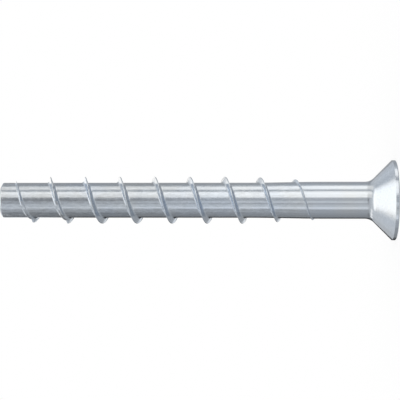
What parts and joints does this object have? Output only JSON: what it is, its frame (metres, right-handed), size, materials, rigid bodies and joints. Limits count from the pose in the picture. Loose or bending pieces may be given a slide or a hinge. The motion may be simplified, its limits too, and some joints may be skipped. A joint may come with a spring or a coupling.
{
  "type": "concrete screw",
  "caption": "Countersunk concrete screw with a coarse cutting thread, plain shank, flat chamfered tip and six-lobed driver recess, standing on its head.",
  "frame": {"origin": "centre of the flat face of the head, which the screw stands on", "axes": "+Z along the screw's axis from the head to the tip, +X towards the side where the crest of the middle turn is 52 mm above the face"},
  "size_m": [0.0202, 0.0202, 0.1],
  "materials": {
    "zinc_plated_steel": "bright zinc plating with a cool bluish clear passivation, satin with fine lengthwise and turning marks"
  },
  "bodies": {
    "root": {"concrete_screw": "zinc_plated_steel"}
  },
  "joints": []
}
